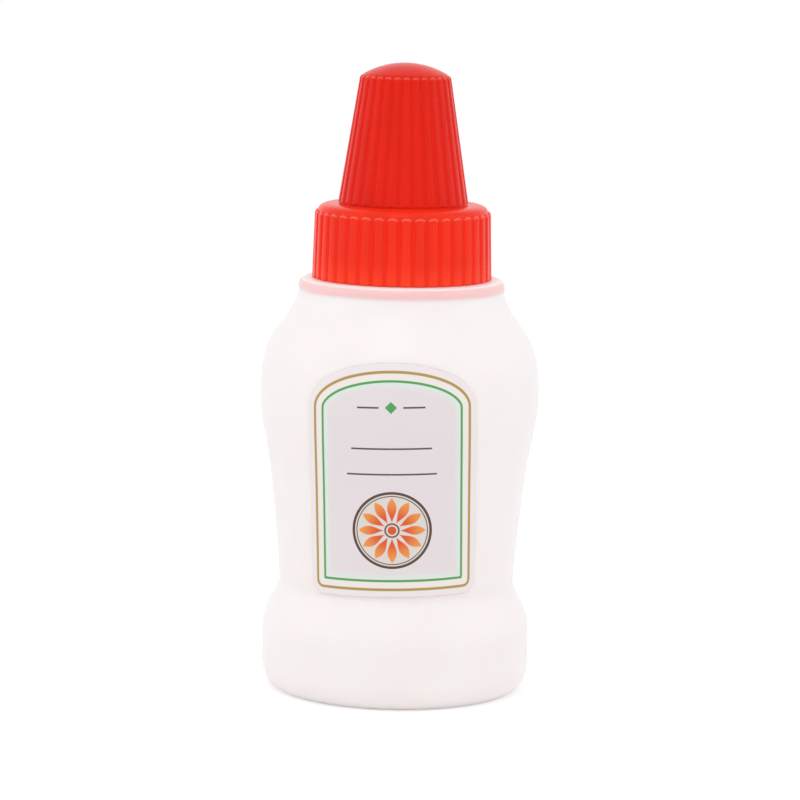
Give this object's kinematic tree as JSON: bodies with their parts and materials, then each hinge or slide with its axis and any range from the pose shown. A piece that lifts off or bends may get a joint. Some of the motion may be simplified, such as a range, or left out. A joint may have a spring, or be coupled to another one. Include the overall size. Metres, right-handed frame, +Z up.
{
  "type": "mini squeeze bottle",
  "caption": "Small translucent squeeze bottle with a waisted body, a ribbed screw collar carrying a spout, and a ribbed conical tip cap pushed over the spout.",
  "frame": {"origin": "middle of the foot's underside, on the surface that the bottle stands on", "axes": "+Z up along the bottle's axis, the label faces -Y"},
  "size_m": [0.0354, 0.0357, 0.08],
  "materials": {
    "bottle": "milky see-through soft plastic, satin",
    "label": "satin printed sticker, off-white with gold and green lines",
    "liner": "white foamed seal",
    "collar": "soft gloss red",
    "cap": "soft gloss red"
  },
  "bodies": {
    "bottle": {"bottle": "bottle", "label": "label"},
    "liner": {"sealing_liner": "liner"},
    "collar": {"spout_collar": "collar"},
    "tip_cap": {"tip_cap": "cap"}
  },
  "joints": [
    {"name": "liner_lift", "type": "slide", "parent": "bottle", "child": "liner", "axis": [0, 0, 1], "range_m": [0, 0.0115]},
    {"name": "collar_twist", "type": "hinge", "parent": "liner", "child": "collar", "pos_m": [0, 0, 0.058], "axis": [0, 0, 1], "range_deg": [0, 1260]},
    {"name": "tip_cap_pull", "type": "slide", "parent": "collar", "child": "tip_cap", "axis": [0, 0, 1], "range_m": [0, 0.015]}
  ],
  "couplings": [
    {"joint": "liner_lift", "follows": "collar_twist", "m_per_rad": 0.0005093}
  ]
}
